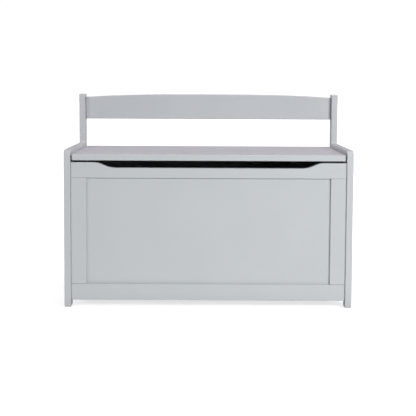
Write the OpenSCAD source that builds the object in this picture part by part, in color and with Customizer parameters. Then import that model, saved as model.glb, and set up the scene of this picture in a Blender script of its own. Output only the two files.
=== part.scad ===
// Bench-style wooden toy box: two side boards that rise into backrest posts, a framed front, a back, a
// bottom on battens, a crowned backrest rail and a seat lid on two friction hinges.
// The origin is on the floor under the middle of the box. +X is to the right, -Y is the front, +Z is up.
// All sizes are in millimetres.

/* [Overall size] */
// Width over the two side boards
box_w = 840; // [760:5:1000]
// Depth over the edges of the side boards
box_d = 415; // [380:5:460]
// Height to the top of the backrest posts
box_h = 620; // [612:1:660]

/* [Side boards] */
// Thickness of a side board
side_t = 19; // [18:0.5:24]
// Height of the level top edge in front of the post
arm_h = 462; // [455:1:470]
// Depth of the post behind the level top edge
post_d = 45; // [40:1:50]
// Radius of the front top corner
arm_r = 14; // [6:1:20]
// Radius of the corner between the top edge and the post
post_root_r = 5; // [3:1:12]
// Radius of the corners at the top of the post
post_top_r = 4; // [2:1:8]
// Length of a foot along the depth
foot_l = 39; // [30:1:60]
// Height of the cut-out between the feet
arch_h = 28; // [22:1:29]
// Radius of the cut-out's corners
arch_r = 14; // [8:1:20]

/* [Front frame] */
// Thickness of the frame's rails and stiles
frame_t = 18; // [16:1:20]
// Distance from the side boards' front edges back to the frame's face
frame_setback = 5; // [2:1:12]
// Height of the bottom rail's lower edge above the floor
frame_low = 21; // [18:1:24]
// Height of the bottom rail
bottom_rail_h = 47.5; // [44:0.5:60]
// Height of the top rail's upper edge above the floor
frame_top = 425.5; // [422:0.5:428]
// Height of the top rail
top_rail_h = 45; // [42:1:60]
// Width of a stile
stile_w = 45; // [40:0.5:60]
// Thickness of the front panel
panel_t = 6; // [4:1:6]
// Distance from the frame's face back to the panel's face
panel_recess = 7.5; // [4:0.5:9]
// Depth of the groove that holds the panel
groove_depth = 7; // [5:1:9]

/* [Finger scoop] */
// Width of the scoop where it meets the rail's upper edge
scoop_w = 671; // [500:1:700]
// Width of the scoop's level bottom
scoop_flat_w = 539; // [300:1:600]
// Depth of the scoop
scoop_depth = 15.8; // [10:0.2:20]
// Share of an end's run that the convex upper arc takes
scoop_upper_share = 0.41; // [0.2:0.01:0.8]

/* [Lid] */
// Thickness of the lid
lid_t = 18; // [16:1:20]
// Height of the seat above the floor
seat_h = 449.3; // [449:0.1:450]
// Gap between the lid and each side board
lid_gap = 3.5; // [2:0.5:5]

/* [Back and bottom] */
// Thickness of the back panel
back_t = 15; // [12:1:18]
// Distance from the side boards' rear edges to the back panel's outer face and the lid's rear edge
back_inset = 12.5; // [12:0.5:18]
// Thickness of the bottom panel
bottom_t = 9; // [6:1:12]
// Height of the battens' lower face above the floor
batten_low = 30; // [29:1:36]
// Width and height of a batten
batten = 18; // [16:1:20]
// Width of the brace under the middle of the bottom panel
brace_w = 40; // [30:1:60]

/* [Backrest] */
// Thickness of the backrest rail
rail_t = 18; // [16:1:20]
// Distance from the posts' front edges back to the rail's face
rail_setback = 18; // [8:1:24]
// Height of the rail's lower edge above the floor
rail_low = 538.8; // [530:0.1:545]
// Height of the rail at its ends
rail_end_h = 71; // [66:1:74]
// Rise of the crowned upper edge from the ends to the middle
rail_crown = 9.7; // [0:0.1:10]

/* [Hinges] */
// Distance from the middle of the box to the middle of a hinge
hinge_x = 250; // [150:5:300]
// Width of a hinge
hinge_w = 70; // [60:2:90]
// Length of the fixed leaf from the pin's axis down the back panel
base_leaf_l = 60; // [50:1:70]
// Thickness of a hinge leaf
leaf_t = 2; // [1.5:0.5:2.5]
// Outer radius of the knuckles
knuckle_r = 5; // [5:0.5:6]
// Radius of the hinge pin
pin_r = 2.5; // [2:0.5:3]

/* [Fasteners] */
// Radius of a connecting bolt's shank
bolt_r = 3; // [3:0.5:4]
// Radius of a connecting bolt's flat head
bolt_head_r = 7; // [6:0.5:8]
// Radius of a barrel nut
nut_r = 5; // [5:0.5:6]
// Radius of a wooden dowel
dowel_r = 4; // [3:0.5:4]
// Radius of a wood screw's shank
screw_r = 1.8; // [1.5:0.1:2]

/* [Hidden] */
$fn = 48;

// Colours
paint = "#BFC4C7";
beech = "#D9B98A";
zinc = "#B9BCC0";
steel = "#8E9297";
rubber = "#D9DADB";
acetal = "#3A3B3D";

// Small allowances
past = 1;         // how far a cut runs past the face it opens
slip = 0.05;      // radial play round dowels, nuts, screws and stems
bolt_play = 0.2;  // radial play round a connecting bolt
running = 0.05;   // radial play of the hinge pin in its sleeve and knuckles
loose = 0.5;      // play round the bottom panel and between knuckles
tongue_play = 1;  // between the front panel's edge and the bottom of its groove
barrel_gap = 0.5; // between a hinge's barrel and the faces its leaves lie on
edge_ease = 1.3;  // how far below the seat a lid leaf ends, clear of the lid's rounded rear edge

// Places across the width
inner_x = box_w / 2 - side_t;
stile_x = inner_x - stile_w;
lid_x = inner_x - lid_gap;

// Places along the depth
front_y = -box_d / 2;
rear_y = box_d / 2;
frame_y = front_y + frame_setback;
frame_back_y = frame_y + frame_t;
frame_mid_y = frame_y + frame_t / 2;
panel_y = frame_y + panel_recess;
back_out_y = rear_y - back_inset;
back_in_y = back_out_y - back_t;
back_mid_y = back_in_y + back_t / 2;
post_y = rear_y - post_d;
rail_y = post_y + rail_setback;
rail_mid_y = rail_y + rail_t / 2;
lid_rear_y = back_out_y;
glide_places = [front_y + foot_l / 2, rear_y - foot_l / 2];

// The front panel's outer size is the frame's opening plus its tongues in the grooves
tongue = groove_depth - tongue_play;

// Heights
bottom_rail_top = frame_low + bottom_rail_h;
top_rail_low = frame_top - top_rail_h;
batten_top = batten_low + batten;
lid_low = seat_h - lid_t;
back_top = frame_top;
rail_end_z = rail_low + rail_end_h;
crown_steps = 40;        // straight pieces of the backrest rail's crowned edge

// Hinge: the leaves lie on the back panel's outer face and on the lid's rear edge, so the pin's axis is one
// standoff behind both, level with the middle of the gap between them
standoff = knuckle_r + barrel_gap;
pivot_y = back_out_y + standoff;
pivot_z = (back_top + lid_low) / 2;
neck_l = 7;                         // from the axis to the full width of a leaf
neck_overlap = 2;                   // height above or below the axis at which a neck runs into its knuckle
barrel_w = 40;                      // width of the base's barrel
leaf_knuckle_w = (hinge_w - barrel_w) / 2 - loose;
lid_leaf_top = seat_h - edge_ease;
sleeve_r = 3.9;
pin_head_r = 3.5;
pin_head_h = 1;

// Finger scoop: each end is a convex arc that runs into a concave one
scoop_run = (scoop_w - scoop_flat_w) / 2;
scoop_angle = 2 * atan(scoop_depth / scoop_run);
scoop_upper_r = scoop_upper_share * scoop_run / sin(scoop_angle);
scoop_lower_r = (1 - scoop_upper_share) * scoop_run / sin(scoop_angle);
scoop_turn_x = scoop_flat_w / 2 + (1 - scoop_upper_share) * scoop_run;  // where the two arcs meet
scoop_turn_d = scoop_upper_share * scoop_depth;                         // and how deep

// Fasteners
bolt_l = 48;
bolt_head_h = 2.2;
bolt_head_recess = 2.5;
hex_key_r = 2.3;
hex_key_depth = 1.5;
nut_inset = 22;          // from the end of a rail to the axis of its barrel nut
nut_l = 12;
nut_slot_w = 1.2;
nut_slot_depth = 1;
end_play = 10;           // a dowel's hole is this many times its radial play longer at each end
dowel_in_side = 12;
dowel_in_rail = 18;
frame_dowel_half = 12;   // length of a frame dowel on each side of its joint
frame_dowel_pitch = 21;
rail_dowel_offset = 13;  // between the bolt and the dowel in a front rail
screw_head_r = 3.6;
screw_head_h = 2;
screw_tip_l = 4;
screw_tip_r = 0.3;
cross_l = 4.4;
cross_w = 0.9;
cross_depth = 1.2;
batten_screw_l = 29;
bottom_screw_l = 22;
base_screw_l = 13;
leaf_screw_l = 22;
glide_r = 7;
glide_h = 3;
glide_proud = 1;
nail_r = 1.2;
nail_l = 14;
bumper_r = 5;
bumper_stem_r = 2;
bumper_stem_l = 8;
bumper_crown = 1;

back_bolt_up = 42;       // from the bottom panel's underside to the back panel's lower bolt
back_bolt_down = 37;     // from the back panel's upper edge to its upper bolt
back_dowel_up = 60;      // from the lower bolt to the dowel above it
back_dowel_down = 50;    // from the upper bolt to the dowel below it

// Each bolt's place on a side board, as [y, z]
bolts = [
    [frame_mid_y, frame_low + bottom_rail_h / 2],
    [frame_mid_y, frame_top - top_rail_h / 2],
    [back_mid_y, batten_top + back_bolt_up],
    [back_mid_y, back_top - back_bolt_down],
    [rail_mid_y, rail_low + rail_end_h / 4],
    [rail_mid_y, rail_low + rail_end_h * 3 / 4]
];
// Each dowel's place on a side board, as [y, z]
side_dowel_places = [
    [frame_mid_y, frame_low + bottom_rail_h / 2 - rail_dowel_offset],
    [frame_mid_y, frame_top - top_rail_h / 2 + rail_dowel_offset],
    [back_mid_y, batten_top + back_bolt_up + back_dowel_up],
    [back_mid_y, back_top - back_bolt_down - back_dowel_down],
    [rail_mid_y, rail_low + rail_end_h / 2]
];
// The joints between stiles and rails, as heights
frame_joints = [bottom_rail_top, top_rail_low];
frame_dowel_x = inner_x - stile_w / 2;

// Battens along the sides and along the front and back
batten_end_gap = 27;     // from the front frame or the back panel to the end of a side batten
cross_end_gap = 40;      // from a side board to the end of a front or back batten
screw_end_gap = 30;      // from the end of a batten to its first screw
side_batten_y0 = frame_back_y + batten_end_gap;
side_batten_y1 = back_in_y - batten_end_gap;
cross_batten_x = inner_x - cross_end_gap;
batten_screw_z = batten_low + batten / 2;
side_screw_ys = [side_batten_y0 + screw_end_gap, (side_batten_y0 + side_batten_y1) / 2,
                 side_batten_y1 - screw_end_gap];
cross_screw_xs = [for (t = [-1, -1 / 3, 1 / 3, 1]) t * (cross_batten_x - screw_end_gap)];
cleat_z = frame_top - batten;
cleat_screw_z = cleat_z + batten / 2;
bumper_end_gap = 12;
bumper_ys = [side_batten_y0 + bumper_end_gap, side_batten_y1 - bumper_end_gap];
bumper_x = inner_x - batten / 2;

// Places of the screws that hold the bottom panel, as [x, y]
cross_screw_x = 200;     // screws into the front and back battens, from the middle of the box
side_screw_y = 80;       // screws into the side battens
brace_screw_y = 90;      // screws into the brace
bottom_screw_places = concat(
    [for (x = [-cross_screw_x, cross_screw_x])
        for (y = [frame_back_y + batten / 2, back_in_y - batten / 2]) [x, y]],
    [for (x = [-bumper_x, bumper_x], y = [-side_screw_y, side_screw_y]) [x, y]],
    [for (y = [-brace_screw_y, brace_screw_y]) [0, y]]
);

// Places of the hinges' screws: across the hinge, and down from the axis on the fixed leaf
leaf_side_margin = 12;
leaf_end_margin = 10;
base_screw_first = 26;
leaf_screws = 4;
base_screw_xs = [-hinge_w / 2 + leaf_side_margin, hinge_w / 2 - leaf_side_margin];
base_screw_ds = [base_screw_first, base_leaf_l - leaf_end_margin];
leaf_screw_xs = [for (i = [0 : leaf_screws - 1]) (i + 0.5) * hinge_w / leaf_screws - hinge_w / 2];
leaf_screw_z = (pivot_z + neck_l + lid_leaf_top) / 2;

// A box given by its lowest and highest corners
module block(low, high) {
    translate(low) cube(high - low);
}

// A cylinder along X from x0 to x1
module rod_x(x0, x1, r) {
    translate([x0, 0, 0]) rotate([0, 90, 0]) cylinder(h = x1 - x0, r = r);
}

// Draws its children on the right, and mirrored on the left
module both_sides() {
    children();
    mirror([1, 0, 0]) children();
}

// ---------------------------------------------------------------- fasteners

// A countersunk wood screw that points along -Z with its head's face at z = 0
module wood_screw(l) {
    difference() {
        union() {
            translate([0, 0, -screw_head_h]) cylinder(h = screw_head_h, r1 = screw_r, r2 = screw_head_r);
            translate([0, 0, -(l - screw_tip_l)]) cylinder(h = l - screw_tip_l - screw_head_h, r = screw_r);
            translate([0, 0, -l]) cylinder(h = screw_tip_l, r1 = screw_tip_r, r2 = screw_r);
        }
        for (turn = [0, 90])
            rotate([0, 0, turn])
                translate([-cross_l / 2, -cross_w / 2, -cross_depth])
                    cube([cross_l, cross_w, cross_depth + past]);
    }
}

// The hole for that screw
module screw_hole(l) {
    cylinder(h = past, r = screw_head_r + slip);
    translate([0, 0, -screw_head_h])
        cylinder(h = screw_head_h, r1 = screw_r + slip, r2 = screw_head_r + slip);
    translate([0, 0, -l - slip]) cylinder(h = l, r = screw_r + slip);
}

// Draws its children at every batten screw, with -Z along the screw
module at_batten_screws() {
    both_sides() {
        for (y = side_screw_ys, z = [batten_screw_z, cleat_screw_z])
            translate([inner_x - batten, y, z]) rotate([0, -90, 0]) children();
    }
    for (x = cross_screw_xs) {
        translate([x, frame_back_y + batten, batten_screw_z]) rotate([-90, 0, 0]) children();
        translate([x, back_in_y - batten, batten_screw_z]) rotate([90, 0, 0]) children();
    }
}

module at_bottom_screws() {
    for (p = bottom_screw_places)
        translate([p.x, p.y, batten_top + bottom_t]) children();
}

module at_base_screws(side) {
    for (x = base_screw_xs, d = base_screw_ds)
        translate([side * hinge_x + x, back_out_y + leaf_t, pivot_z - d]) rotate([-90, 0, 0]) children();
}

module at_leaf_screws(side) {
    for (x = leaf_screw_xs)
        translate([side * hinge_x + x, lid_rear_y + leaf_t, leaf_screw_z]) rotate([-90, 0, 0]) children();
}

// A connecting bolt on the right side at x = 0 on the side board's outer face, pointing along -X
module connecting_bolt() {
    difference() {
        union() {
            rod_x(-bolt_head_recess, -bolt_head_recess + bolt_head_h, bolt_head_r);
            rod_x(-bolt_l, -bolt_head_recess, bolt_r);
        }
        translate([-bolt_head_recess + bolt_head_h - hex_key_depth, 0, 0])
            rotate([0, 90, 0]) cylinder(h = hex_key_depth + past, r = hex_key_r, $fn = 6);
    }
}

// The bolt holes of one pair of boards: the head's recess, the shank and, for a nut, its cross hole
module bolt_holes() {
    both_sides()
        for (p = bolts)
            translate([box_w / 2, p.x, p.y]) {
                rod_x(-bolt_head_recess, past, bolt_head_r + bolt_play);
                rod_x(-bolt_l - past, 0, bolt_r + bolt_play);
            }
}

// The holes in a face that its nuts are pushed into
module nut_holes(face_y, inward) {
    both_sides()
        for (p = bolts)
            if (abs(p.x - face_y) < frame_t)
                translate([inner_x - nut_inset, face_y, p.y])
                    rotate([90 * inward, 0, 0])
                        translate([0, 0, -past]) cylinder(h = nut_l + past, r = nut_r + slip);
}

module side_dowel_rods(play) {
    both_sides()
        for (p = side_dowel_places)
            translate([inner_x, p.x, p.y])
                rod_x(-dowel_in_rail - end_play * play, dowel_in_side + end_play * play, dowel_r + play);
}

module frame_dowel_rods(play) {
    half = frame_dowel_half + end_play * play;
    both_sides()
        for (z = frame_joints, dx = [-frame_dowel_pitch / 2, frame_dowel_pitch / 2])
            translate([frame_dowel_x + dx, frame_mid_y, z - half])
                cylinder(h = 2 * half, r = dowel_r + play);
}

// ---------------------------------------------------------------- side boards

// A square corner at the origin minus its rounded quarter: the waste that rounds a corner towards +x +y
module corner_waste(r) {
    difference() {
        square(r);
        circle(r);
    }
}

// The outline of a side board, drawn with the depth along x and the height along y
module side_outline() {
    union() {
        difference() {
            translate([front_y, glide_proud]) square([box_d, box_h - glide_proud]);
            translate([front_y - past, arm_h]) square([box_d - post_d + past, box_h]);
            translate([front_y + arm_r, arm_h - arm_r]) mirror([1, 0]) corner_waste(arm_r);
            translate([post_y + post_top_r, box_h - post_top_r]) mirror([1, 0]) corner_waste(post_top_r);
            translate([rear_y - post_top_r, box_h - post_top_r]) corner_waste(post_top_r);
            arch_outline();
        }
        translate([post_y - post_root_r, arm_h])
            difference() {
                square(post_root_r);
                translate([0, post_root_r]) circle(post_root_r);
            }
    }
}

// The cut-out between the feet, with round upper corners
module arch_outline() {
    w = box_d - 2 * foot_l;
    translate([-w / 2, -past]) square([w, arch_h - arch_r + past]);
    translate([-w / 2 + arch_r, -past]) square([w - 2 * arch_r, arch_h + past]);
    for (x = [-w / 2 + arch_r, w / 2 - arch_r])
        translate([x, arch_h - arch_r]) circle(arch_r);
}

module side_board() {
    difference() {
        translate([inner_x, 0, 0])
            rotate([90, 0, 90]) linear_extrude(height = side_t) side_outline();
        bolt_holes();
        side_dowel_rods(slip);
        at_batten_screws() screw_hole(batten_screw_l);
        for (y = glide_places)
            translate([inner_x + side_t / 2, y, 0]) {
                cylinder(h = glide_h, r = glide_r + bolt_play);
                cylinder(h = nail_l + glide_h, r = nail_r + slip);
            }
    }
}

module right_side_panel() {
    color(paint) side_board();
}

module left_side_panel() {
    color(paint) mirror([1, 0, 0]) side_board();
}

// Plastic glides nailed into recesses under the feet
module foot_glides() {
    color(rubber)
        both_sides()
            for (y = glide_places)
                translate([inner_x + side_t / 2, y, 0]) {
                    cylinder(h = glide_h, r = glide_r);
                    cylinder(h = nail_l, r = nail_r);
                }
}

// ---------------------------------------------------------------- front frame

// The scoop's waste in the plane of the rail, with the rail's upper edge at y = 0
module scoop_outline() {
    half = scoop_flat_w / 2;
    difference() {
        union() {
            translate([-scoop_turn_x, -scoop_turn_d]) square([2 * scoop_turn_x, scoop_turn_d + past]);
            translate([-half, -scoop_depth]) square([2 * half, scoop_depth + past]);
            for (side = [-1, 1]) {
                intersection() {
                    translate([side * half, scoop_lower_r - scoop_depth]) circle(scoop_lower_r);
                    translate([side > 0 ? half - past : -scoop_turn_x, -scoop_depth])
                        square([scoop_turn_x - half + past, scoop_depth]);
                }
                translate([side > 0 ? scoop_turn_x : -scoop_w / 2, -scoop_turn_d])
                    square([scoop_w / 2 - scoop_turn_x, scoop_turn_d + past]);
            }
        }
        for (side = [-1, 1])
            translate([side * scoop_w / 2, -scoop_upper_r]) circle(scoop_upper_r);
    }
}

module panel_groove() {
    block([-stile_x - groove_depth, panel_y, bottom_rail_top - groove_depth],
          [stile_x + groove_depth, panel_y + panel_t, top_rail_low + groove_depth]);
}

module front_top_rail() {
    color(paint)
        difference() {
            block([-inner_x, frame_y, top_rail_low], [inner_x, frame_back_y, frame_top]);
            translate([0, frame_back_y + past, frame_top])
                rotate([90, 0, 0]) linear_extrude(height = frame_t + 2 * past) scoop_outline();
            panel_groove();
            bolt_holes();
            nut_holes(frame_back_y, 1);
            side_dowel_rods(slip);
            frame_dowel_rods(slip);
        }
}

module front_bottom_rail() {
    color(paint)
        difference() {
            block([-inner_x, frame_y, frame_low], [inner_x, frame_back_y, bottom_rail_top]);
            panel_groove();
            bolt_holes();
            nut_holes(frame_back_y, 1);
            side_dowel_rods(slip);
            frame_dowel_rods(slip);
            at_batten_screws() screw_hole(batten_screw_l);
        }
}

module stile() {
    difference() {
        block([stile_x, frame_y, bottom_rail_top], [inner_x, frame_back_y, top_rail_low]);
        panel_groove();
        frame_dowel_rods(slip);
    }
}

module front_right_stile() {
    color(paint) stile();
}

module front_left_stile() {
    color(paint) mirror([1, 0, 0]) stile();
}

module front_panel() {
    color(paint)
        block([-stile_x - tongue, panel_y, bottom_rail_top - tongue],
              [stile_x + tongue, panel_y + panel_t, top_rail_low + tongue]);
}

module frame_dowels() {
    color(beech) frame_dowel_rods(0);
}

module side_dowels() {
    color(beech) side_dowel_rods(0);
}

// ---------------------------------------------------------------- back, bottom and battens

module back_panel() {
    color(paint)
        difference() {
            block([-inner_x, back_in_y, frame_low], [inner_x, back_out_y, back_top]);
            bolt_holes();
            nut_holes(back_in_y, -1);
            side_dowel_rods(slip);
            at_batten_screws() screw_hole(batten_screw_l);
            for (side = [-1, 1])
                at_base_screws(side) screw_hole(base_screw_l);
        }
}

module bottom_panel() {
    color(paint)
        difference() {
            block([-inner_x + loose, frame_back_y + loose, batten_top],
                  [inner_x - loose, back_in_y - loose, batten_top + bottom_t]);
            at_bottom_screws() screw_hole(bottom_screw_l);
        }
}

// A batten with all its screw holes
module drilled_batten(low, high) {
    difference() {
        block(low, high);
        at_batten_screws() screw_hole(batten_screw_l);
        at_bottom_screws() screw_hole(bottom_screw_l);
    }
}

module front_bottom_batten() {
    color(paint)
        drilled_batten([-cross_batten_x, frame_back_y, batten_low],
                       [cross_batten_x, frame_back_y + batten, batten_top]);
}

module back_bottom_batten() {
    color(paint)
        drilled_batten([-cross_batten_x, back_in_y - batten, batten_low],
                       [cross_batten_x, back_in_y, batten_top]);
}

module side_batten() {
    drilled_batten([inner_x - batten, side_batten_y0, batten_low],
                   [inner_x, side_batten_y1, batten_top]);
}

module right_bottom_batten() {
    color(paint) side_batten();
}

module left_bottom_batten() {
    color(paint) mirror([1, 0, 0]) side_batten();
}

module bottom_brace() {
    color(paint)
        drilled_batten([-brace_w / 2, frame_back_y + batten, batten_low],
                       [brace_w / 2, back_in_y - batten, batten_top]);
}

// ---------------------------------------------------------------- lid rests

module lid_cleat() {
    difference() {
        block([inner_x - batten, side_batten_y0, cleat_z], [inner_x, side_batten_y1, frame_top]);
        at_batten_screws() screw_hole(batten_screw_l);
        for (y = bumper_ys)
            translate([bumper_x, y, frame_top - bumper_stem_l - past])
                cylinder(h = bumper_stem_l + 2 * past, r = bumper_stem_r + slip);
    }
}

module right_lid_cleat() {
    color(paint) lid_cleat();
}

module left_lid_cleat() {
    color(paint) mirror([1, 0, 0]) lid_cleat();
}

// Soft buffers that the closed lid rests on
module lid_bumpers() {
    h = lid_low - frame_top;
    color(rubber)
        both_sides()
            for (y = bumper_ys)
                translate([bumper_x, y, frame_top]) {
                    cylinder(h = h - bumper_crown, r = bumper_r);
                    translate([0, 0, h - bumper_crown])
                        cylinder(h = bumper_crown, r1 = bumper_r, r2 = bumper_r - bumper_crown);
                    translate([0, 0, -bumper_stem_l]) cylinder(h = bumper_stem_l, r = bumper_stem_r);
                }
}

// ---------------------------------------------------------------- backrest

// Height of the crowned edge above its ends, at a share t of the half width from the middle
function crown(t) = rail_crown * (1 - pow(abs(t), 3));

module rail_outline() {
    polygon(concat(
        [[-inner_x, rail_low], [inner_x, rail_low]],
        [for (i = [crown_steps : -1 : 0])
            let (t = 2 * i / crown_steps - 1) [t * inner_x, rail_end_z + crown(t)]]
    ));
}

module backrest_rail() {
    color(paint)
        difference() {
            translate([0, rail_y + rail_t, 0])
                rotate([90, 0, 0]) linear_extrude(height = rail_t) rail_outline();
            bolt_holes();
            nut_holes(rail_y + rail_t, 1);
            side_dowel_rods(slip);
        }
}

// ---------------------------------------------------------------- loose fasteners

module connecting_bolts() {
    color(zinc)
        both_sides()
            for (p = bolts)
                translate([box_w / 2, p.x, p.y]) connecting_bolt();
}

// A nut with its middle at the origin and a slot in each end; its bolt passes it at the depth hole_y
module barrel_nut(hole_y) {
    difference() {
        translate([0, nut_l / 2, 0]) rotate([90, 0, 0]) cylinder(h = nut_l, r = nut_r);
        translate([0, hole_y, 0]) rod_x(-nut_r - past, nut_r + past, bolt_r + slip);
        for (turn = [0, 180])
            rotate([0, 0, turn])
                block([-nut_r - past, nut_l / 2 - nut_slot_depth, -nut_slot_w / 2],
                      [nut_r + past, nut_l / 2 + past, nut_slot_w / 2]);
    }
}

module barrel_nuts() {
    color(zinc)
        both_sides()
            for (p = bolts)
                translate([inner_x - nut_inset, nut_y(p.x), p.y]) barrel_nut(p.x - nut_y(p.x));
}

// The middle of a nut whose bolt's axis is at the depth y: nuts sit just below the face they enter by
function nut_y(y) =
    y == back_mid_y ? back_in_y + nut_l / 2
    : y == rail_mid_y ? rail_y + rail_t - nut_l / 2
    : frame_back_y - nut_l / 2;

module batten_screws() {
    color(zinc) at_batten_screws() wood_screw(batten_screw_l);
}

module bottom_screws() {
    color(zinc) at_bottom_screws() wood_screw(bottom_screw_l);
}

// ---------------------------------------------------------------- hinges

// The fixed half: a leaf on the back panel, and a barrel that houses the friction sleeve
module hinge_base(side) {
    translate([side * hinge_x, 0, 0])
        difference() {
            union() {
                block([-hinge_w / 2, back_out_y, pivot_z - base_leaf_l],
                      [hinge_w / 2, back_out_y + leaf_t, pivot_z - neck_l]);
                block([-barrel_w / 2, back_out_y, pivot_z - neck_l - past],
                      [barrel_w / 2, back_out_y + leaf_t, pivot_z - neck_overlap]);
                translate([0, pivot_y, pivot_z]) rod_x(-barrel_w / 2, barrel_w / 2, knuckle_r);
            }
            translate([0, pivot_y, pivot_z])
                rod_x(-barrel_w / 2 - past, barrel_w / 2 + past, sleeve_r + slip);
            translate([-side * hinge_x, 0, 0]) at_base_screws(side) screw_hole(base_screw_l);
        }
}

module left_hinge_base() {
    color(steel) hinge_base(-1);
}

module right_hinge_base() {
    color(steel) hinge_base(1);
}

// The moving half: a leaf on the lid's rear edge, and a knuckle at each end of the barrel
module hinge_leaf(side) {
    translate([side * hinge_x, 0, 0])
        difference() {
            union() {
                block([-hinge_w / 2, lid_rear_y, pivot_z + neck_l],
                      [hinge_w / 2, lid_rear_y + leaf_t, lid_leaf_top]);
                both_sides()
                    leaf_knuckle();
            }
            translate([0, pivot_y, pivot_z]) rod_x(-hinge_w, hinge_w, pin_r + running);
            translate([-side * hinge_x, 0, 0]) at_leaf_screws(side) screw_hole(leaf_screw_l);
        }
}

module leaf_knuckle() {
    x0 = barrel_w / 2 + loose;
    x1 = x0 + leaf_knuckle_w;
    block([x0, lid_rear_y, pivot_z + neck_overlap], [x1, lid_rear_y + leaf_t, pivot_z + neck_l + past]);
    translate([0, pivot_y, pivot_z]) rod_x(x0, x1, knuckle_r);
}

module left_hinge_leaf() {
    color(steel) hinge_leaf(-1);
}

module right_hinge_leaf() {
    color(steel) hinge_leaf(1);
}

// Friction sleeves, pressed into the barrels and gripping the pins
module hinge_sleeves() {
    color(acetal)
        for (side = [-1, 1])
            translate([side * hinge_x, pivot_y, pivot_z])
                difference() {
                    rod_x(-barrel_w / 2, barrel_w / 2, sleeve_r);
                    rod_x(-barrel_w / 2 - past, barrel_w / 2 + past, pin_r + running);
                }
}

// Pins, which turn with the moving leaves in the sleeves
module hinge_pins() {
    end = barrel_w / 2 + loose + leaf_knuckle_w;
    color(zinc)
        for (side = [-1, 1])
            translate([side * hinge_x, pivot_y, pivot_z]) {
                rod_x(-end, end, pin_r);
                rod_x(-end - pin_head_h, -end, pin_head_r);
                rod_x(end, end + pin_head_h, pin_head_r);
            }
}

module hinge_base_screws() {
    color(zinc)
        for (side = [-1, 1])
            at_base_screws(side) wood_screw(base_screw_l);
}

module hinge_leaf_screws() {
    color(zinc)
        for (side = [-1, 1])
            at_leaf_screws(side) wood_screw(leaf_screw_l);
}

// ---------------------------------------------------------------- lid

module lid_board() {
    color(paint)
        difference() {
            block([-lid_x, front_y, lid_low], [lid_x, lid_rear_y, seat_h]);
            for (side = [-1, 1])
                at_leaf_screws(side) screw_hole(leaf_screw_l);
        }
}

left_side_panel();
right_side_panel();
front_top_rail();
front_bottom_rail();
front_left_stile();
front_right_stile();
front_panel();
back_panel();
bottom_panel();
front_bottom_batten();
back_bottom_batten();
left_bottom_batten();
right_bottom_batten();
bottom_brace();
left_lid_cleat();
right_lid_cleat();
lid_bumpers();
backrest_rail();
foot_glides();
frame_dowels();
side_dowels();
connecting_bolts();
barrel_nuts();
batten_screws();
bottom_screws();
left_hinge_base();
right_hinge_base();
hinge_sleeves();
hinge_base_screws();
lid_board();
left_hinge_leaf();
right_hinge_leaf();
hinge_pins();
hinge_leaf_screws();
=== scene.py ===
# The looks of the bench-style toy box: painted boards with rounded edges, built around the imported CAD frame.
import math

import bmesh
import bpy
from mathutils import Matrix, Vector

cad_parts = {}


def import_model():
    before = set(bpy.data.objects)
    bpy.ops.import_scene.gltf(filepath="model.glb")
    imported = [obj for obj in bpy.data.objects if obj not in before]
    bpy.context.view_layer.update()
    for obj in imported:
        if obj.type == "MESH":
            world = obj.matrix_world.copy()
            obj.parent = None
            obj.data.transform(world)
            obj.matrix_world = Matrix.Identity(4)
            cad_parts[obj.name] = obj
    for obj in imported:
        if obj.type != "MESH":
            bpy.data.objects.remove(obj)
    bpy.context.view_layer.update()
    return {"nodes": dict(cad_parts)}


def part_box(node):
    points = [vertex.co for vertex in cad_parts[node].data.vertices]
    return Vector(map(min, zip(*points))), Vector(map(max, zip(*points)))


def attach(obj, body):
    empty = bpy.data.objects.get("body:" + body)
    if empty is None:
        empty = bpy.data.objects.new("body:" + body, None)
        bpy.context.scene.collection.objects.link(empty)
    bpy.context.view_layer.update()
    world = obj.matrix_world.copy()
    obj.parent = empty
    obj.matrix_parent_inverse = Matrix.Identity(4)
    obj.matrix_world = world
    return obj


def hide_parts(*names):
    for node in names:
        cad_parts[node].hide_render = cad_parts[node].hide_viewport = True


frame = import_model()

MM = 0.001
BOX, LID = "box", "lid"

# Shapes that the boxes of the CAD nodes don't give, in metres
ARM_TOP = 462 * MM              # level top edge of a side board
ARM_CORNER = 14 * MM            # its front corner
POST_DEPTH = 45 * MM
POST_ROOT = 5 * MM              # corner between the level edge and the post
POST_CORNER = 4 * MM
FOOT_LENGTH = 39 * MM
ARCH_TOP = 28 * MM              # top of the cut-out between the feet
ARCH_CORNER = 14 * MM
FOOT_CORNER = 2.5 * MM
SCOOP_HALF, SCOOP_FLAT_HALF, SCOOP_DEPTH = 335.5 * MM, 269.5 * MM, 15.8 * MM
SCOOP_UPPER_SHARE = 0.41        # share of an end's run that the convex upper arc takes
SCOOP_STEPS = 8                 # straight pieces of each of the scoop's arcs
RAIL_CROWN = 9.7 * MM           # rise of the backrest rail's upper edge
CROWN_POWER, CROWN_STEPS = 3, 48  # how flat its middle is, and its straight pieces
LID_CORNER = 5 * MM             # corner of the lid as seen from above

# Edge radii of the boards
SIDE_EDGE = 2 * MM
FOOT_EDGE = 1.5 * MM
LID_TOP_EDGE, LID_LOW_EDGE = 1.5 * MM, 3 * MM
RAIL_EDGE = 3 * MM
LOW_RAIL_EDGE = 2 * MM          # lower edge of the bottom rail
SCOOP_EDGE = 1 * MM
FRAME_EDGE = 1 * MM             # edges round the front panel
JOINT_EDGE = 0.8 * MM           # edges that meet another board
LOW_JOINT, TOP_JOINT = 0.6 * MM, 0.3 * MM   # gaps between a stile's ends and the rails
SIDE_JOINT = 0.5 * MM           # gap between the front frame and each side board
RAIL_JOINT = 0.5 * MM           # gap between the backrest rail and each post
BATTEN_EDGE = 1.5 * MM

# The photographed paint: a cool light grey, linear values
PAINT = (0.505, 0.533, 0.552)


# ---------------------------------------------------------------- node helpers

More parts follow.
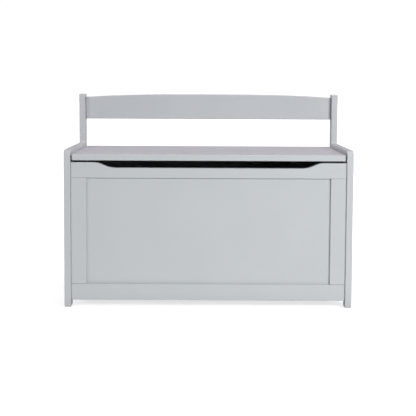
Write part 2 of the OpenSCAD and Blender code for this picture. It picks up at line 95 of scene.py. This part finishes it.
class Shader:
    """A material with short calls for its nodes. Object coordinates are metres in the row frame."""

    def __init__(self, name):
        self.material = bpy.data.materials.new(name)
        self.material.use_nodes = True
        self.tree = self.material.node_tree
        self.tree.nodes.clear()
        self.bsdf = self.add("ShaderNodeBsdfPrincipled")
        out = self.add("ShaderNodeOutputMaterial")
        self.link(self.bsdf.outputs["BSDF"], out.inputs["Surface"])
        self.coordinates = self.add("ShaderNodeTexCoord").outputs["Object"]

    def add(self, kind, **settings):
        node = self.tree.nodes.new(kind)
        for key, value in settings.items():
            setattr(node, key, value)
        return node

    def link(self, output, socket):
        self.tree.links.new(output, socket)

    def set(self, **sockets):
        for name, value in sockets.items():
            self.bsdf.inputs[name.replace("_", " ")].default_value = value

    def stretched(self, scale):
        """Object coordinates stretched by a scale per axis."""
        mapping = self.add("ShaderNodeMapping")
        mapping.inputs["Scale"].default_value = scale
        self.link(self.coordinates, mapping.inputs["Vector"])
        return mapping.outputs["Vector"]

    def noise(self, scale, detail=2.0, rough=0.5, vector=None):
        node = self.add("ShaderNodeTexNoise")
        node.inputs["Scale"].default_value = scale
        node.inputs["Detail"].default_value = detail
        node.inputs["Roughness"].default_value = rough
        self.link(vector or self.coordinates, node.inputs["Vector"])
        return node.outputs["Fac"]

    def spread(self, value, low, high, from_low=0.3, from_high=0.7):
        """A value mapped from the noise's usual range to low..high."""
        node = self.add("ShaderNodeMapRange")
        node.inputs["From Min"].default_value = from_low
        node.inputs["From Max"].default_value = from_high
        node.inputs["To Min"].default_value = low
        node.inputs["To Max"].default_value = high
        self.link(value, node.inputs["Value"])
        return node.outputs["Result"]

    def mix(self, factor, a, b):
        """Colour a where factor is 0, b where it is 1. Each is a colour or another node's output."""
        node = self.add("ShaderNodeMix", data_type="RGBA")
        self.link(factor, node.inputs["Factor"])
        for socket, colour in ((node.inputs["A"], a), (node.inputs["B"], b)):
            if isinstance(colour, bpy.types.NodeSocket):
                self.link(colour, socket)
            else:
                socket.default_value = (*colour, 1.0)
        return node.outputs["Result"]

    def bump(self, height, distance, below=None):
        node = self.add("ShaderNodeBump")
        node.inputs["Distance"].default_value = distance
        self.link(height, node.inputs["Height"])
        if below is not None:
            self.link(below, node.inputs["Normal"])
        return node.outputs["Normal"]

    def attribute(self, name):
        node = self.add("ShaderNodeAttribute", attribute_name=name)
        return node.outputs["Fac"]


def shade(colour, factor):
    return tuple(c * factor for c in colour)


# ---------------------------------------------------------------- materials

def painted(name, grain_axis=None, colour=PAINT, roughness=0.54):
    """Sprayed satin paint: a fine orange peel, a faint cloudiness, thinner paint on the edges and, on solid
    wood, the grain showing through along grain_axis."""
    s = Shader(name)
    cloud = s.noise(7.0, detail=3.0)
    speck = s.noise(260.0, detail=2.0)
    base = s.mix(s.spread(cloud, 0.0, 1.0), shade(colour, 0.985), shade(colour, 1.015))
    base = s.mix(s.spread(speck, 0.0, 0.25), base, shade(colour, 0.97))
    edge = s.attribute("edge")
    base = s.mix(s.spread(edge, 0.0, 0.5, 0.2, 1.0), base, shade(colour, 1.03))
    s.link(base, s.bsdf.inputs["Base Color"])
    patches = s.noise(38.0, detail=4.0)
    s.link(s.spread(patches, roughness - 0.05, roughness + 0.05), s.bsdf.inputs["Roughness"])
    relief = s.bump(s.noise(520.0, detail=1.0), 0.00006)
    if grain_axis is not None:
        scale = [420.0, 420.0, 420.0]
        scale[grain_axis] = 9.0
        fibres = s.noise(1.0, detail=4.0, rough=0.6, vector=s.stretched(scale))
        relief = s.bump(fibres, 0.00008, below=relief)
    s.link(relief, s.bsdf.inputs["Normal"])
    s.set(Specular_IOR_Level=0.35)
    return s.material


def beech():
    s = Shader("beech")
    rings = s.noise(1.0, detail=5.0, rough=0.65, vector=s.stretched((60.0, 500.0, 500.0)))
    tone = s.mix(s.spread(rings, 0.0, 1.0), (0.56, 0.37, 0.20), (0.70, 0.52, 0.32))
    s.link(tone, s.bsdf.inputs["Base Color"])
    s.link(s.bump(rings, 0.0001), s.bsdf.inputs["Normal"])
    s.set(Roughness=0.7)
    return s.material


def metal(name, colour, roughness, scratch_scale):
    """Plated steel: fine scratches along one axis and a cloudy polish."""
    s = Shader(name)
    scratches = s.noise(1.0, detail=3.0, rough=0.7, vector=s.stretched(scratch_scale))
    cloud = s.noise(90.0, detail=3.0)
    s.link(s.mix(s.spread(cloud, 0.0, 1.0), shade(colour, 0.95), colour), s.bsdf.inputs["Base Color"])
    s.link(s.spread(scratches, roughness - 0.03, roughness + 0.04), s.bsdf.inputs["Roughness"])
    s.link(s.bump(scratches, 0.000003), s.bsdf.inputs["Normal"])
    s.set(Metallic=1.0)
    return s.material


def plastic(name, colour, roughness, subsurface=0.0):
    s = Shader(name)
    tint = s.spread(s.noise(300.0, detail=2.0), 0.0, 1.0)
    s.link(s.mix(tint, shade(colour, 0.93), colour), s.bsdf.inputs["Base Color"])
    s.link(s.bump(s.noise(900.0), 0.00003), s.bsdf.inputs["Normal"])
    s.link(s.spread(s.noise(150.0), roughness - 0.04, roughness + 0.06), s.bsdf.inputs["Roughness"])
    s.set(Subsurface_Weight=subsurface, Subsurface_Scale=0.002)
    return s.material


BOARD_PAINT = painted("painted_fibreboard")
GRAIN_X_PAINT = painted("painted_wood_x", grain_axis=0)
GRAIN_Z_PAINT = painted("painted_wood_z", grain_axis=2)
BATTEN_PAINT_X = painted("painted_batten_x", grain_axis=0, colour=shade(PAINT, 0.96), roughness=0.55)
BATTEN_PAINT_Y = painted("painted_batten_y", grain_axis=1, colour=shade(PAINT, 0.96), roughness=0.55)
BEECH = beech()
ZINC = metal("zinc_plate", (0.64, 0.65, 0.67), 0.34, (700.0, 90.0, 90.0))
NICKEL = metal("nickel_steel", (0.60, 0.60, 0.61), 0.32, (60.0, 900.0, 900.0))
ACETAL = plastic("black_acetal", (0.03, 0.031, 0.033), 0.35)
NYLON = plastic("pale_nylon", (0.62, 0.63, 0.64), 0.45, subsurface=0.2)
BUFFER = plastic("buffer_rubber", (0.72, 0.73, 0.73), 0.3, subsurface=0.5)


# ---------------------------------------------------------------- board building

ARC_STEP = math.radians(9)      # largest turn between two points of a rounded corner
EDGE_STEPS = 5                  # strips across a rounded edge
HOLE_SIDES = 40


def round_corners(corners):
    """Turns corners (u, v, corner radius, edge radius) into points (u, v, edge radius), both
    counter-clockwise."""
    points = []
    for i, (u, v, radius, edge) in enumerate(corners):
        corner = Vector((u, v))
        if not radius:
            points.append((u, v, edge))
            continue
        before = (Vector(corners[i - 1][:2]) - corner).normalized()
        after = (Vector(corners[(i + 1) % len(corners)][:2]) - corner).normalized()
        half = before.angle(after) / 2
        centre = corner + (before + after).normalized() * radius / math.sin(half)
        start = corner + before * radius / math.tan(half)
        turn = math.pi - 2 * half
        side = 1 if before.x * after.y - before.y * after.x < 0 else -1
        steps = max(2, math.ceil(turn / ARC_STEP))
        for k in range(steps + 1):
            arm = Matrix.Rotation(side * turn * k / steps, 2) @ (start - centre)
            points.append((*(centre + arm), edge))
    return points


def inward_miters(points):
    """For each outline point, the vector that moves it one unit inside both of its edges."""
    miters = []
    for i, p in enumerate(points):
        here = Vector(p[:2])
        normals = []
        for a, b in ((Vector(points[i - 1][:2]), here), (here, Vector(points[(i + 1) % len(points)][:2]))):
            d = (b - a).normalized()
            normals.append(Vector((-d.y, d.x)))
        total = normals[0] + normals[1]
        miters.append(total / (1 + normals[0].dot(normals[1])))
    return miters


def ring(bm, mark, place, points, miters, share, w, edge_value):
    """One loop of vertices: the outline moved inwards by share of each point's edge radius, at height w."""
    loop = []
    for (u, v, edge), miter, height in zip(points, miters, w):
        shift = miter * edge * share
        vert = bm.verts.new(place(u + shift.x, v + shift.y, height))
        vert[mark] = edge_value
        loop.append(vert)
    return loop


def bridge(bm, a, b):
    for i in range(len(a)):
        j = (i + 1) % len(a)
        bm.faces.new((a[i], a[j], b[j], b[i]))


def hole(bm, mark, place, w, inwards, centre, mouth, foot, depth):
    """A blind round hole in the face at height w. Returns its mouth, for the face's fill."""
    loops = []
    chamfer = 0.3 * MM
    for radius, sink in ((mouth + chamfer, 0.0), (mouth, chamfer), (foot, depth)):
        loop = []
        for k in range(HOLE_SIDES):
            turn = 2 * math.pi * k / HOLE_SIDES
            u, v = centre[0] + radius * math.cos(turn), centre[1] + radius * math.sin(turn)
            vert = bm.verts.new(place(u, v, w + inwards * sink))
            vert[mark] = 0.0
            loop.append(vert)
        loops.append(loop)
    bridge(bm, loops[0], loops[1])
    bridge(bm, loops[1], loops[2])
    bm.faces.new(loops[2])
    return loops[0]


def fill(bm, loops):
    edges = []
    for loop in loops:
        for i, vert in enumerate(loop):
            ends = (vert, loop[(i + 1) % len(loop)])
            edges.append(bm.edges.get(ends) or bm.edges.new(ends))
    bmesh.ops.triangle_fill(bm, use_beauty=True, use_dissolve=False, edges=edges)


def board(name, corners, place, low, high, material, replaces, body=BOX, slot="painted_board",
          low_edge=1.0, high_edge=1.0, low_holes=(), high_holes=()):
    """A flat board with rounded edges. corners is its outline counter-clockwise in (u, v), place(u, v, w)
    gives a point, and the board runs from low to high along w. low_edge and high_edge scale the edge radii
    of the two faces. A hole is (centre, mouth radius, foot radius, depth)."""
    bm = bmesh.new()
    mark = bm.verts.layers.float.new("edge")
    points = round_corners(corners)
    miters = inward_miters(points)
    loops = []
    for face, inwards, scale in ((low, 1, low_edge), (high, -1, high_edge)):
        steps = []
        for k in range(EDGE_STEPS + 1):
            turn = math.pi / 2 * k / EDGE_STEPS
            heights = [face + inwards * p[2] * scale * (1 - math.cos(turn)) for p in points]
            middle = math.sin(2 * turn)
            steps.append(ring(bm, mark, place, points, miters, scale * (1 - math.sin(turn)), heights, middle))
        loops.append(steps)
    for steps in loops:
        for a, b in zip(steps, steps[1:]):
            bridge(bm, a, b)
    bridge(bm, loops[0][-1], loops[1][-1])
    for steps, face, inwards, holes in ((loops[0], low, 1, low_holes), (loops[1], high, -1, high_holes)):
        mouths = [hole(bm, mark, place, face, inwards, *h) for h in holes]
        fill(bm, [steps[0], *mouths])
    bmesh.ops.remove_doubles(bm, verts=bm.verts, dist=1e-7)
    bmesh.ops.recalc_face_normals(bm, faces=bm.faces)
    return piece(name, bm, material, replaces, body)


def piece(name, bm, material, replaces, body=BOX):
    """Turns a bmesh into a finished piece that rides on a body and stands for CAD nodes."""
    for face in bm.faces:
        face.smooth = True
    mesh = bpy.data.meshes.new(name)
    bm.to_mesh(mesh)
    bm.free()
    mesh.materials.append(material)
    o = bpy.data.objects.new(name, mesh)
    bpy.context.scene.collection.objects.link(o)
    weights = o.modifiers.new("flat_faces", "WEIGHTED_NORMAL")
    weights.weight = 100
    weights.keep_sharp = True
    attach(o, body)
    if replaces:
        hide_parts(*replaces)
    return o


def across(u, v, w):
    """u along X, v along Z, w along Y: a board that faces the front."""
    return (u, w, v)


def sideways(u, v, w):
    """u along Y, v along Z, w along X: a side board."""
    return (w, u, v)


def flat(u, v, w):
    """u along X, v along Y, w along Z: a board that lies flat."""
    return (u, v, w)


def rectangle(u0, v0, u1, v1, corner, edge):
    return [(u0, v0, corner, edge), (u1, v0, corner, edge), (u1, v1, corner, edge), (u0, v1, corner, edge)]


def solids(node):
    """The (lowest, highest) corners of each separate solid in a CAD node."""
    bm = bmesh.new()
    bm.from_mesh(frame["nodes"][node].data)
    bmesh.ops.remove_doubles(bm, verts=bm.verts, dist=1e-5)
    left, found = set(bm.verts), []
    while left:
        group, todo = set(), [left.pop()]
        while todo:
            vert = todo.pop()
            group.add(vert)
            for e in vert.link_edges:
                other = e.other_vert(vert)
                if other in left:
                    left.remove(other)
                    todo.append(other)
        co = [v.co for v in group]
        found.append((Vector([min(c[i] for c in co) for i in range(3)]),
                      Vector([max(c[i] for c in co) for i in range(3)])))
    bm.free()
    return sorted(found, key=lambda b: tuple(round(x, 5) for x in b[0]))


BOLTS = solids("connecting_bolts")
NUTS = solids("barrel_nuts")
BATTEN_SCREWS = solids("batten_screws")
BOTTOM_SCREWS = solids("bottom_screws")
BOLT_MOUTH, BOLT_RECESS = 7.2 * MM, 2.5 * MM
NUT_MOUTH, NUT_DEPTH = 5.1 * MM, 12 * MM
SCREW_MOUTH, SCREW_FOOT, SCREW_SINK = 3.68 * MM, 1.9 * MM, 2.1 * MM
NEAR = 0.1 * MM


def middle(solid):
    return (solid[0] + solid[1]) / 2


def nut_holes(axis_value, side):
    """Holes for the nuts whose end lies at the depth axis_value: side 0 is their front end, 1 their rear."""
    return [((middle(n).x, middle(n).z), NUT_MOUTH, NUT_MOUTH, NUT_DEPTH)
            for n in NUTS if abs(n[side].y - axis_value) < NEAR]


# ---------------------------------------------------------------- side boards

def side_board(name, node, outer_sign):
    low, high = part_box(node)
    y0, y1, z0, z1 = low.y, high.y, low.z, high.z
    e = SIDE_EDGE
    outline = [
        (y0, z0, FOOT_CORNER, FOOT_EDGE), (y0 + FOOT_LENGTH, z0, FOOT_CORNER, FOOT_EDGE),
        (y0 + FOOT_LENGTH, ARCH_TOP, ARCH_CORNER, e), (y1 - FOOT_LENGTH, ARCH_TOP, ARCH_CORNER, e),
        (y1 - FOOT_LENGTH, z0, FOOT_CORNER, FOOT_EDGE), (y1, z0, FOOT_CORNER, FOOT_EDGE),
        (y1, z1, POST_CORNER, e), (y1 - POST_DEPTH, z1, POST_CORNER, e),
        (y1 - POST_DEPTH, ARM_TOP, POST_ROOT, e), (y0, ARM_TOP, ARM_CORNER, e),
    ]
    holes = [((middle(b).y, middle(b).z), BOLT_MOUTH, BOLT_MOUTH, BOLT_RECESS)
             for b in BOLTS if middle(b).x * outer_sign > 0]
    outer = {"high_holes": holes} if outer_sign > 0 else {"low_holes": holes}
    board(name, outline, sideways, low.x, high.x, BOARD_PAINT, [node], **outer)


side_board("left_side_board", "left_side_panel", -1)
side_board("right_side_board", "right_side_panel", 1)


# ---------------------------------------------------------------- front frame

def scoop_points(top, edge):
    """The rail's upper edge from right to left: a convex arc that runs into a concave one at each end."""
    run = SCOOP_HALF - SCOOP_FLAT_HALF
    angle = 2 * math.atan(SCOOP_DEPTH / run)
    upper = SCOOP_UPPER_SHARE * run / math.sin(angle)
    lower = (1 - SCOOP_UPPER_SHARE) * run / math.sin(angle)
    curve = []
    for k in range(SCOOP_STEPS + 1):
        turn = angle * k / SCOOP_STEPS
        curve.append((SCOOP_HALF - upper * math.sin(turn), top - upper * (1 - math.cos(turn))))
    for k in range(SCOOP_STEPS - 1, -1, -1):
        turn = angle * k / SCOOP_STEPS
        curve.append((SCOOP_FLAT_HALF + lower * math.sin(turn),
                      top - SCOOP_DEPTH + lower * (1 - math.cos(turn))))
    left = [(-u, v) for u, v in reversed(curve)]
    return [(u, v, 0, edge) for u, v in curve + left]


def front_frame():
    low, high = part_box("front_top_rail")
    top_rail = [
        (low.x + SIDE_JOINT, low.z, 0, JOINT_EDGE), (high.x - SIDE_JOINT, low.z, 0, JOINT_EDGE),
        (high.x - SIDE_JOINT, high.z, 0, SCOOP_EDGE), *scoop_points(high.z, SCOOP_EDGE),
        (low.x + SIDE_JOINT, high.z, 0, SCOOP_EDGE),
    ]
    board("front_scooped_rail", top_rail, across, low.y, high.y, GRAIN_X_PAINT, ["front_top_rail"],
          high_holes=nut_holes(high.y, 1))
    low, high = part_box("front_bottom_rail")
    bottom_rail = [
        (low.x + SIDE_JOINT, low.z, 0, LOW_RAIL_EDGE), (high.x - SIDE_JOINT, low.z, 0, LOW_RAIL_EDGE),
        (high.x - SIDE_JOINT, high.z, 0, JOINT_EDGE), (low.x + SIDE_JOINT, high.z, 0, JOINT_EDGE),
    ]
    board("front_lower_rail", bottom_rail, across, low.y, high.y, GRAIN_X_PAINT, ["front_bottom_rail"],
          high_holes=nut_holes(high.y, 1))
    for side in ("left", "right"):
        node = f"front_{side}_stile"
        low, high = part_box(node)
        left_gap, right_gap = (SIDE_JOINT, 0) if side == "left" else (0, SIDE_JOINT)
        outline = rectangle(low.x + left_gap, low.z + LOW_JOINT, high.x - right_gap, high.z - TOP_JOINT,
                            0, FRAME_EDGE)
        board(f"{node}_board", outline, across, low.y, high.y, GRAIN_Z_PAINT, [node])
    low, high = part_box("front_panel")
    board("front_flat_panel", rectangle(low.x, low.z, high.x, high.z, 0, JOINT_EDGE), across, low.y, high.y,
          BOARD_PAINT, ["front_panel"])


front_frame()


# ---------------------------------------------------------------- back, bottom and battens

def flat_screw_holes(low, high, screws):
    """Countersinks in a board's upper face, for the screws that stand in its outline."""
    return [((middle(s).x, middle(s).y), SCREW_MOUTH, SCREW_FOOT, SCREW_SINK)
            for s in screws if low.x < middle(s).x < high.x and low.y < middle(s).y < high.y]


def back_and_bottom():
    low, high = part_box("back_panel")
    board("back_board", rectangle(low.x, low.z, high.x, high.z, 0, BATTEN_EDGE), across, low.y, high.y,
          BOARD_PAINT, ["back_panel"], low_holes=nut_holes(low.y, 0))
    low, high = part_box("bottom_panel")
    board("bottom_board", rectangle(low.x, low.y, high.x, high.y, 0, FRAME_EDGE), flat, low.z, high.z,
          BOARD_PAINT, ["bottom_panel"], high_holes=flat_screw_holes(low, high, BOTTOM_SCREWS))


def battens():
    """Battens have countersinks on the face that their screws' heads lie in."""
    for node in ("front_bottom_batten", "back_bottom_batten"):
        low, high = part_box(node)
        head = 1 if node.startswith("front") else 0
        face = high.y if head else low.y
        holes = [((middle(s).x, middle(s).z), SCREW_MOUTH, SCREW_FOOT, SCREW_SINK)
                 for s in BATTEN_SCREWS if abs(s[head].y - face) < NEAR]
        heads = {"high_holes": holes} if head else {"low_holes": holes}
        board(f"{node}_bar", rectangle(low.x, low.z, high.x, high.z, 0, BATTEN_EDGE), across, low.y, high.y,
              BATTEN_PAINT_X, [node], slot="painted_batten", **heads)
    for node in ("left_bottom_batten", "right_bottom_batten", "left_lid_cleat", "right_lid_cleat"):
        low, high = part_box(node)
        head = 0 if low.x > 0 else 1
        face = low.x if low.x > 0 else high.x
        holes = [((middle(s).y, middle(s).z), SCREW_MOUTH, SCREW_FOOT, SCREW_SINK)
                 for s in BATTEN_SCREWS if abs(s[head].x - face) < NEAR and low.z < middle(s).z < high.z]
        heads = {"high_holes": holes} if head else {"low_holes": holes}
        board(f"{node}_bar", rectangle(low.y, low.z, high.y, high.z, 0, BATTEN_EDGE), sideways, low.x, high.x,
              BATTEN_PAINT_Y, [node], slot="painted_batten", **heads)
    low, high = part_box("bottom_brace")
    board("bottom_brace_bar", rectangle(low.x, low.y, high.x, high.y, 0, BATTEN_EDGE), flat, low.z, high.z,
          BATTEN_PAINT_Y, ["bottom_brace"], slot="painted_batten")


back_and_bottom()
battens()


# ---------------------------------------------------------------- backrest and lid

def backrest():
    low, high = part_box("backrest_rail")
    half = high.x - RAIL_JOINT
    end_top = high.z - RAIL_CROWN
    crown = []
    for k in range(CROWN_STEPS + 1):
        t = 1 - 2 * k / CROWN_STEPS
        crown.append((t * half, end_top + RAIL_CROWN * (1 - abs(t) ** CROWN_POWER), 0, RAIL_EDGE))
    outline = [(-half, low.z, 0, RAIL_EDGE), (half, low.z, 0, RAIL_EDGE), *crown]
    board("backrest_board", outline, across, low.y, high.y, GRAIN_X_PAINT, ["backrest_rail"],
          high_holes=nut_holes(high.y, 1))


def lid():
    low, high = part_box("lid_board")
    outline = rectangle(low.x, low.y, high.x, high.y, LID_CORNER, LID_TOP_EDGE)
    board("seat_lid", outline, flat, low.z, high.z, BOARD_PAINT, ["lid_board"], body=LID,
          low_edge=LID_LOW_EDGE / LID_TOP_EDGE)


backrest()
lid()


# ---------------------------------------------------------------- turned pieces

TURNED_SIDES = 40


def turned(bm, centre, profile):
    """Adds a solid of revolution about Z. profile runs from its lowest (radius, height) to its highest."""
    loops = []
    for radius, height in profile:
        loop = []
        for k in range(TURNED_SIDES):
            turn = 2 * math.pi * k / TURNED_SIDES
            x, y = centre.x + radius * math.cos(turn), centre.y + radius * math.sin(turn)
            loop.append(bm.verts.new((x, y, height)))
        loops.append(loop)
    for a, b in zip(loops, loops[1:]):
        bridge(bm, a, b)
    bm.faces.new(loops[0])
    bm.faces.new(loops[-1])


def arc(radius_out, radius_arc, height_start, steps=6):
    """The rounded upper shoulder of a turned piece."""
    return [(radius_out - radius_arc * (1 - math.cos(math.pi / 2 * k / steps)),
             height_start + radius_arc * math.sin(math.pi / 2 * k / steps)) for k in range(steps + 1)]


def bumpers():
    bm = bmesh.new()
    for low, high in solids("lid_bumpers"):
        centre = (low + high) / 2
        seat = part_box("left_lid_cleat")[1].z
        stem, rim, dome = 2 * MM, 5 * MM, 3.5 * MM
        profile = [(stem, low.z), (stem, seat), (rim, seat), *arc(rim, dome, high.z - dome)]
        turned(bm, centre, profile)
    bmesh.ops.recalc_face_normals(bm, faces=bm.faces)
    piece("lid_buffers", bm, BUFFER, ["lid_bumpers"])


def glides():
    bm = bmesh.new()
    for low, high in solids("foot_glides"):
        centre = (low + high) / 2
        stem, rim, lip, thickness = 1.2 * MM, 7 * MM, 0.8 * MM, 3 * MM
        disc_top = low.z + thickness
        profile = [(rim - lip, low.z), (rim - lip * 0.3, low.z + lip * 0.3), (rim, low.z + lip),
                   (rim, disc_top), (stem, disc_top), (stem, high.z)]
        turned(bm, centre, profile)
    bmesh.ops.recalc_face_normals(bm, faces=bm.faces)
    piece("floor_glides", bm, NYLON, ["foot_glides"])


bumpers()
glides()


# ---------------------------------------------------------------- CAD nodes that stay

KEPT = {
    "frame_dowels": BEECH, "side_dowels": BEECH, "connecting_bolts": ZINC, "barrel_nuts": ZINC,
    "batten_screws": ZINC, "bottom_screws": ZINC, "hinge_base_screws": ZINC, "hinge_leaf_screws": ZINC,
    "left_hinge_base": NICKEL, "right_hinge_base": NICKEL, "hinge_sleeves": ACETAL,
    "left_hinge_leaf": NICKEL, "right_hinge_leaf": NICKEL, "hinge_pins": ZINC,
}
for node, material in KEPT.items():
    frame["nodes"][node].material_slots[0].material = material


# ---------------------------------------------------------------- stage, light and camera

SURROUND = 0.31                 # how strongly the white surround lights the box
BOUNCE = 2.0                    # and how strongly a patch of floor in front of it does
OPEN_CONE = (0.90, 0.82)        # the surround fades in between these cosines of the angle to the camera
PATCH_CONE = (0.86, 0.95)       # and the patch between these cosines of the angle to its middle
BACKDROP = 1.05                 # white that the camera sees behind the box
FLOOR_HALF = 30.0
FLOOR_GLOW, FLOOR_COLOUR = 0.60, 0.74
GLOW_NEAR, GLOW_FAR = 0.8, 2.5  # the floor's glow rises from FLOOR_GLOW to 1 between these distances
WHITE = (1, 1, 1)
AIM = (0, -0.1, 0.3)
LIGHTS = (                      # name, place, aim, width and height, watts, colour
    ("right_softbox", (1.5, -2.6, 1.3), AIM, (1.0, 0.7), 60.0, WHITE),
    ("left_softbox", (-2.35, -2.45, 1.3), AIM, (1.6, 0.8), 20.0, WHITE),
    ("top_softbox", (0, -0.1, 2.9), AIM, (1.6, 1.2), 28.0, (1.0, 0.81, 0.92)),
    ("right_rear_softbox", (2.6, 2.4, 1.2), AIM, (1.2, 1.2), 30.0, WHITE),
    ("left_rear_softbox", (-2.6, 2.4, 1.2), AIM, (1.2, 1.2), 24.0, WHITE),
    ("floor_strip", (0.3, -0.43, 0.01), (0.3, -0.43, 1.0), (1.8, 0.4), 0.5, WHITE),
)
CAMERA_PLACE = (-0.0124, -3.073, 0.6527)
CAMERA_YAW, CAMERA_PITCH, CAMERA_ROLL = 0.058, 4.67, -0.269     # degrees
CAMERA_LENS, CAMERA_SENSOR = 85.97, 36                          # millimetres
CAMERA_SHIFT = (0.0063, -0.1026)


def floor():
    """A pale sweep with painted light: it glows a little, less near the box, so that the glow fills in the
    box's shadow on it and the shadow stays faint.
    """
    mesh = bpy.data.meshes.new("studio_floor")
    low, high = -FLOOR_HALF, FLOOR_HALF
    mesh.from_pydata([(low, low, 0), (high, low, 0), (high, high, 0), (low, high, 0)], [], [(0, 1, 2, 3)])
    o = bpy.data.objects.new("studio_floor", mesh)
    bpy.context.scene.collection.objects.link(o)
    s = Shader("studio_floor")
    distance = s.add("ShaderNodeVectorMath", operation="LENGTH")
    s.link(s.coordinates, distance.inputs["Vector"])
    # painted light: the floor's glow, weaker near the box, lifts the floor and the box's shadow on it towards
    # white
    glow = s.spread(distance.outputs["Value"], FLOOR_GLOW, 1.0, GLOW_NEAR, GLOW_FAR)
    s.link(glow, s.bsdf.inputs["Emission Strength"])
    s.set(Base_Color=(FLOOR_COLOUR, FLOOR_COLOUR, FLOOR_COLOUR, 1), Roughness=1.0,
          Specular_IOR_Level=0.0, Emission_Color=(*WHITE, 1))
    mesh.materials.append(s.material)
    o.visible_diffuse = False
    o.visible_glossy = False


def world():
    """A white surround, open towards the camera, with a bright patch of floor low in front of the box."""
    w = bpy.data.worlds.new("studio")
    w.use_nodes = True
    tree = w.node_tree
    place = tree.nodes.new("ShaderNodeTexCoord")

    def towards(direction, start, full):
        """Rises from 0 to 1 as the cosine of the angle to a direction goes from start to full."""
        dot = tree.nodes.new("ShaderNodeVectorMath")
        dot.operation = "DOT_PRODUCT"
        dot.inputs[1].default_value = Vector(direction).normalized()
        tree.links.new(place.outputs["Generated"], dot.inputs[0])
        rise = tree.nodes.new("ShaderNodeMapRange")
        rise.inputs["From Min"].default_value, rise.inputs["From Max"].default_value = start, full
        tree.links.new(dot.outputs["Value"], rise.inputs["Value"])
        return rise

    cloth = towards((0, -1, 0), *OPEN_CONE)
    cloth.inputs["To Max"].default_value = SURROUND
    patch = towards((0, -1, -1), *PATCH_CONE)
    patch.inputs["To Max"].default_value = BOUNCE
    both = tree.nodes.new("ShaderNodeMath")
    tree.links.new(cloth.outputs["Result"], both.inputs[0])
    tree.links.new(patch.outputs["Result"], both.inputs[1])

    shown = tree.nodes["Background"]
    shown.inputs["Strength"].default_value = BACKDROP
    shown.inputs["Color"].default_value = (*WHITE, 1)
    fill = tree.nodes.new("ShaderNodeBackground")
    fill.inputs["Color"].default_value = (*WHITE, 1)
    tree.links.new(both.outputs["Value"], fill.inputs["Strength"])
    path = tree.nodes.new("ShaderNodeLightPath")
    mix = tree.nodes.new("ShaderNodeMixShader")
    tree.links.new(path.outputs["Is Camera Ray"], mix.inputs["Fac"])
    tree.links.new(fill.outputs["Background"], mix.inputs[1])
    tree.links.new(shown.outputs["Background"], mix.inputs[2])
    tree.links.new(mix.outputs["Shader"], tree.nodes["World Output"].inputs["Surface"])
    bpy.context.scene.world = w


def softbox(name, place, aim, size, power, colour):
    """A rectangular light that faces its aim and that the camera doesn't see."""
    light = bpy.data.lights.new(name, "AREA")
    light.color = colour
    light.shape = "RECTANGLE"
    light.size, light.size_y = size
    light.energy = power
    o = bpy.data.objects.new(name, light)
    o.location = place
    o.rotation_euler = (Vector(aim) - Vector(place)).to_track_quat("-Z", "Y").to_euler()
    o.visible_camera = False
    bpy.context.scene.collection.objects.link(o)


def camera():
    """Nearly square on to the front, a little left of the middle and looking slightly down."""
    yaw, pitch, roll = math.radians(CAMERA_YAW), math.radians(CAMERA_PITCH), math.radians(CAMERA_ROLL)
    forward = Vector((math.sin(yaw) * math.cos(pitch), math.cos(yaw) * math.cos(pitch), -math.sin(pitch)))
    right = Vector((math.cos(yaw), -math.sin(yaw), 0))
    up = right.cross(forward)
    rolled_right = right * math.cos(roll) - up * math.sin(roll)
    rolled_up = right * math.sin(roll) + up * math.cos(roll)
    data = bpy.data.cameras.new("photo_camera")
    data.sensor_width = CAMERA_SENSOR
    data.lens = CAMERA_LENS
    data.shift_x, data.shift_y = CAMERA_SHIFT
    o = bpy.data.objects.new("photo_camera", data)
    turn = Matrix((rolled_right, rolled_up, -forward)).transposed().to_4x4()
    o.matrix_world = Matrix.Translation(CAMERA_PLACE) @ turn
    bpy.context.scene.collection.objects.link(o)
    bpy.context.scene.camera = o


floor()
world()
for light in LIGHTS:
    softbox(*light)
camera()
view = bpy.context.scene.view_settings
view.view_transform = "Standard"
